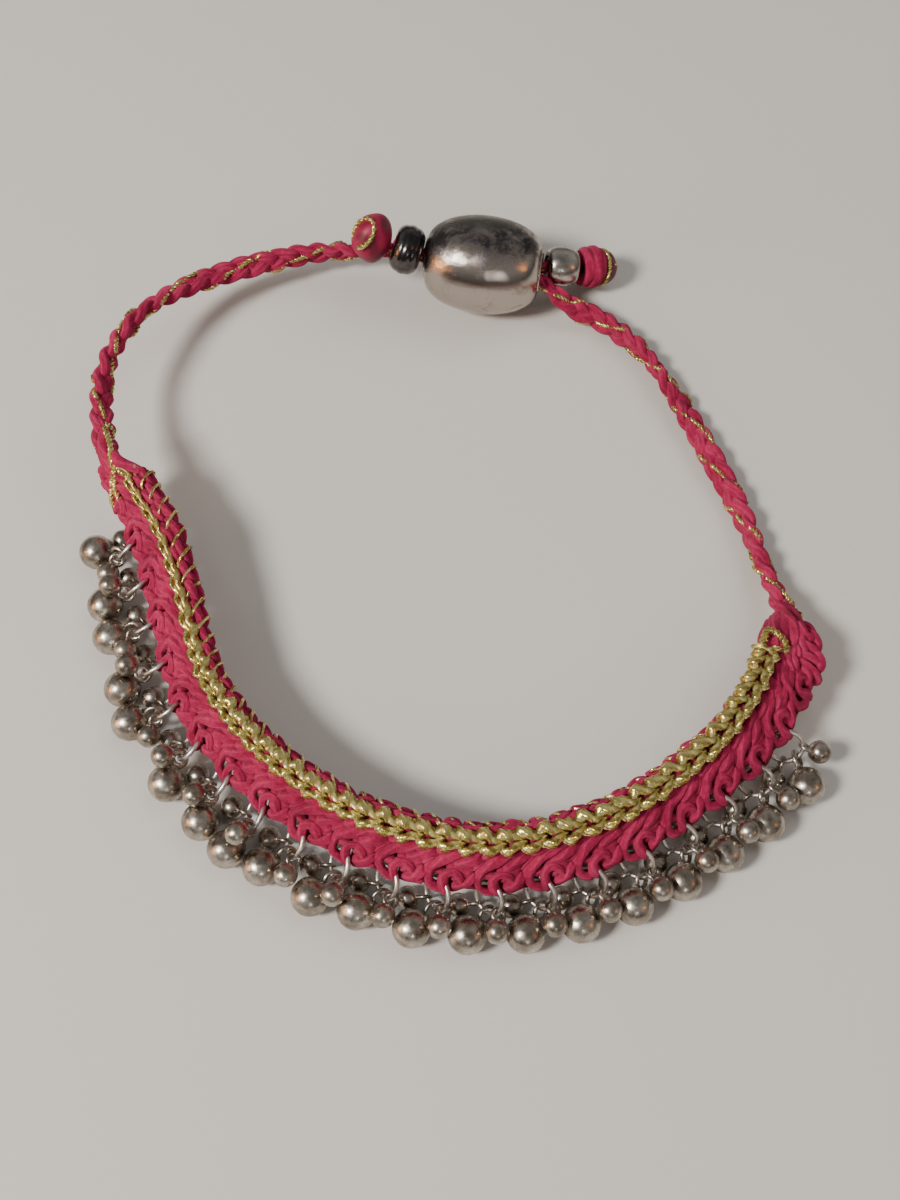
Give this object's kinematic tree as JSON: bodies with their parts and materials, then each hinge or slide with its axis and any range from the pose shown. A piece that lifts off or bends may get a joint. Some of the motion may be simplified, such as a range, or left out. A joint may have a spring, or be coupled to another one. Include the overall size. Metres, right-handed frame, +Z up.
{
  "type": "friendship bracelet",
  "caption": "Adjustable friendship bracelet: crochet band hung with small bells on wire rings, with two braided cords sliding through an oval bead.",
  "frame": {"origin": "middle of the bracelet's box, on the surface that it lies on", "axes": "+Z up from that surface, +Y from the middle of the crochet band towards the sliding bead, +X to the right of someone who looks along +Y"},
  "size_m": [0.0806, 0.0892, 0.0118],
  "materials": {
    "crimson_cotton": "twisted cotton yarn, slightly fuzzy",
    "gold_thread": "metallic lurex thread with fine glints",
    "oxidised_silver": "silver-coloured metal with brown tarnish, dark in the recesses",
    "dark_silver": "dark polished metal",
    "polished_silver": "smooth polished metal with tarnish clouds"
  },
  "bodies": {
    "root": {"crochet_band": "crimson_cotton", "gold_chain": "gold_thread", "large_bell_01": "oxidised_silver", "ring_with_bells_01": "oxidised_silver", "large_bell_02": "oxidised_silver", "ring_with_bells_02": "oxidised_silver", "large_bell_03": "oxidised_silver", "ring_with_bells_03": "oxidised_silver", "large_bell_04": "oxidised_silver", "ring_with_bells_04": "oxidised_silver", "large_bell_05": "oxidised_silver", "ring_with_bells_05": "oxidised_silver", "large_bell_06": "oxidised_silver", "ring_with_bells_06": "oxidised_silver", "large_bell_07": "oxidised_silver", "ring_with_bells_07": "oxidised_silver", "large_bell_08": "oxidised_silver", "ring_with_bells_08": "oxidised_silver", "large_bell_09": "oxidised_silver", "ring_with_bells_09": "oxidised_silver", "large_bell_10": "oxidised_silver", "ring_with_bells_10": "oxidised_silver", "large_bell_11": "oxidised_silver", "ring_with_bells_11": "oxidised_silver", "large_bell_12": "oxidised_silver", "ring_with_bells_12": "oxidised_silver", "large_bell_13": "oxidised_silver", "ring_with_bells_13": "oxidised_silver", "large_bell_14": "oxidised_silver", "ring_with_bells_14": "oxidised_silver", "large_bell_15": "oxidised_silver", "ring_with_bells_15": "oxidised_silver", "large_bell_16": "oxidised_silver", "ring_with_bells_16": "oxidised_silver", "large_bell_17": "oxidised_silver", "ring_with_bells_17": "oxidised_silver", "large_bell_18": "oxidised_silver", "ring_with_bells_18": "oxidised_silver", "large_bell_19": "oxidised_silver", "ring_with_bells_19": "oxidised_silver", "large_bell_20": "oxidised_silver", "ring_with_bells_20": "oxidised_silver", "left_cord": "crimson_cotton", "right_cord": "crimson_cotton", "slider_bead": "polished_silver", "left_small_bead": "dark_silver", "right_small_bead": "polished_silver", "left_knot": "crimson_cotton", "right_knot": "crimson_cotton"}
  },
  "joints": []
}
